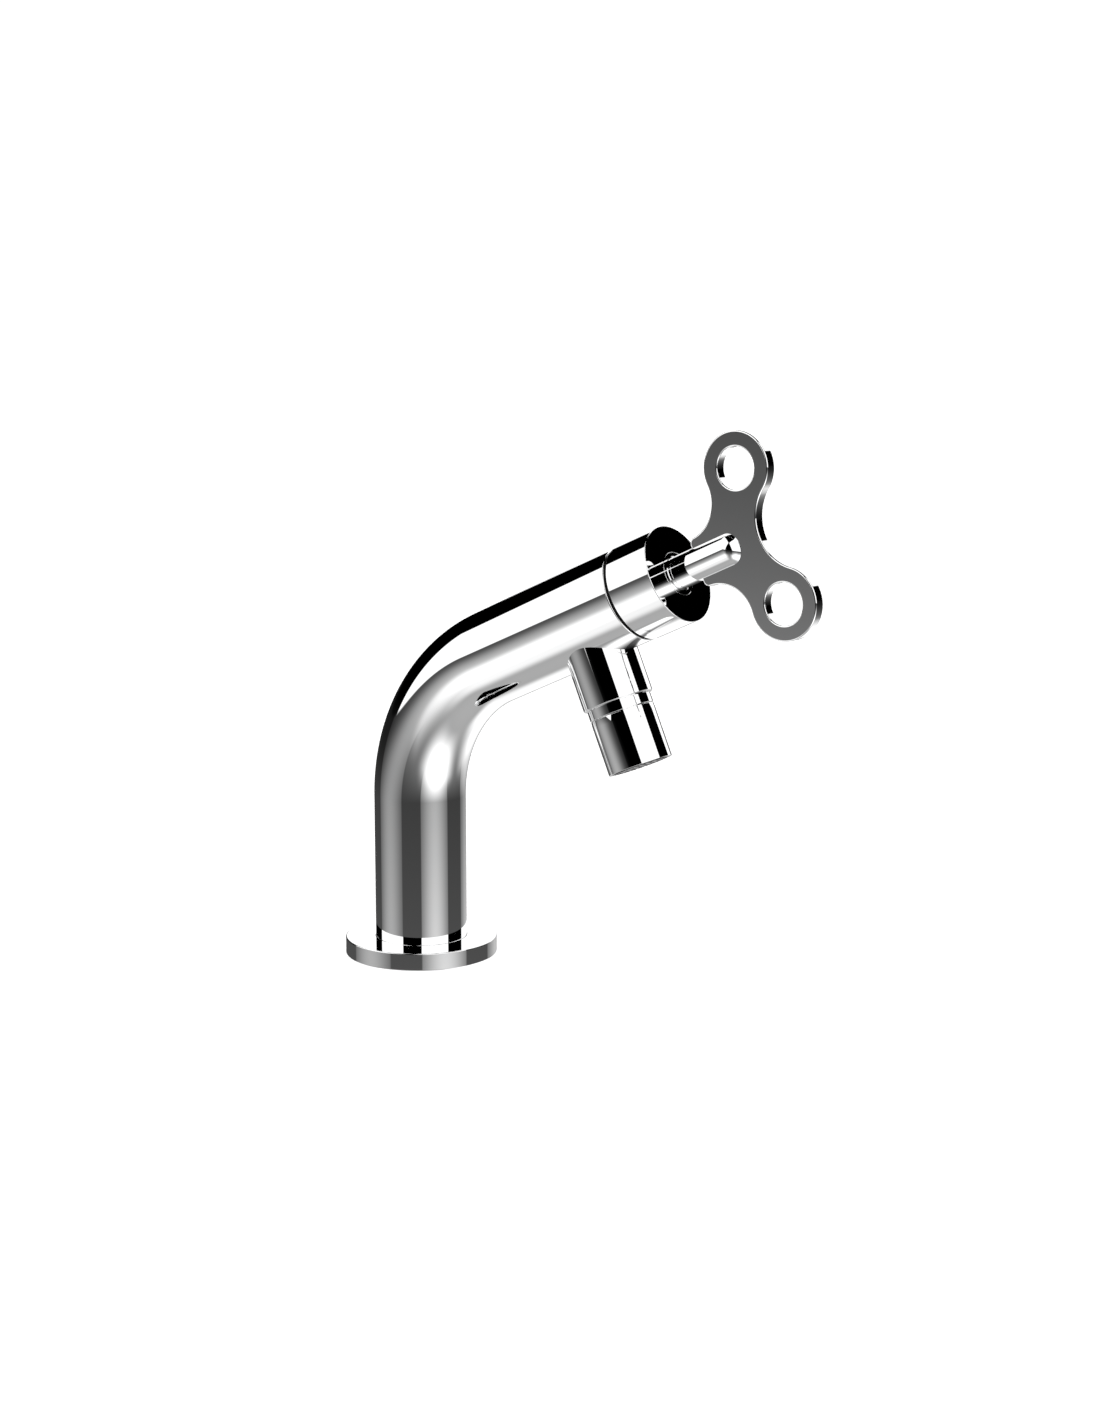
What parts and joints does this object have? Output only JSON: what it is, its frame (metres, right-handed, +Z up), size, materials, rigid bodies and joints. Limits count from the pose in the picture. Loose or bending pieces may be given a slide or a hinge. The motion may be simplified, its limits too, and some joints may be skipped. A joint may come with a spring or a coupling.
{
  "type": "pillar tap",
  "caption": "Deck-mounted pillar tap with a bent tube body, a short aerator spout under the arm and a flat key handle on a quarter-turn valve.",
  "frame": {"origin": "centre of the inlet thread in the flange's flat underside, which rests on the deck", "axes": "+Z up out of the deck, +X the way the arm and spout reach, +Y to the tap's left as seen from behind the pillar; the tap is symmetric about the XZ plane but for its set screw and circlip gap"},
  "size_m": [0.1743, 0.05, 0.1748],
  "materials": {
    "chrome": "bright polished chrome plate",
    "brass": "turned brass",
    "rubber": "matt black sealing rubber",
    "fibre": "pressed red fibre",
    "ceramic": "lapped alumina ceramic",
    "ptfe": "white low-friction plastic",
    "aerator_plastic": "moulded black plastic",
    "steel": "stainless steel"
  },
  "bodies": {
    "tap_body": {"base_flange": "chrome", "base_gasket": "rubber", "base_insert": "brass", "base_insert_o_ring": "rubber", "body_tube": "chrome", "spout_stub": "chrome", "stub_seal": "rubber", "spout_nipple": "chrome", "nozzle_shell": "chrome", "nozzle_seal": "rubber", "aerator_cartridge": "aerator_plastic", "aerator_screen": "steel", "flow_restrictor": "aerator_plastic", "outlet_grid": "aerator_plastic", "valve_housing": "brass", "housing_o_ring_rear": "rubber", "housing_o_ring_front": "rubber", "headwork_body": "brass", "headwork_gasket": "fibre", "seat_seal": "rubber", "fixed_disc": "ceramic", "bonnet_sleeve": "chrome", "gland_ring": "chrome"},
    "handle": {"moving_disc": "ceramic", "spindle": "brass", "spindle_o_ring_inner": "rubber", "spindle_o_ring_outer": "rubber", "slip_washer": "ptfe", "circlip": "steel", "handle_rod": "chrome", "handle_plate": "chrome", "handle_set_screw": "steel"}
  },
  "joints": [
    {"name": "handle_turn", "type": "hinge", "parent": "tap_body", "child": "handle", "pos_m": [0.10106, 0, 0.13203], "axis": [0.915, 0, 0.4035], "range_deg": [0, 90]}
  ]
}
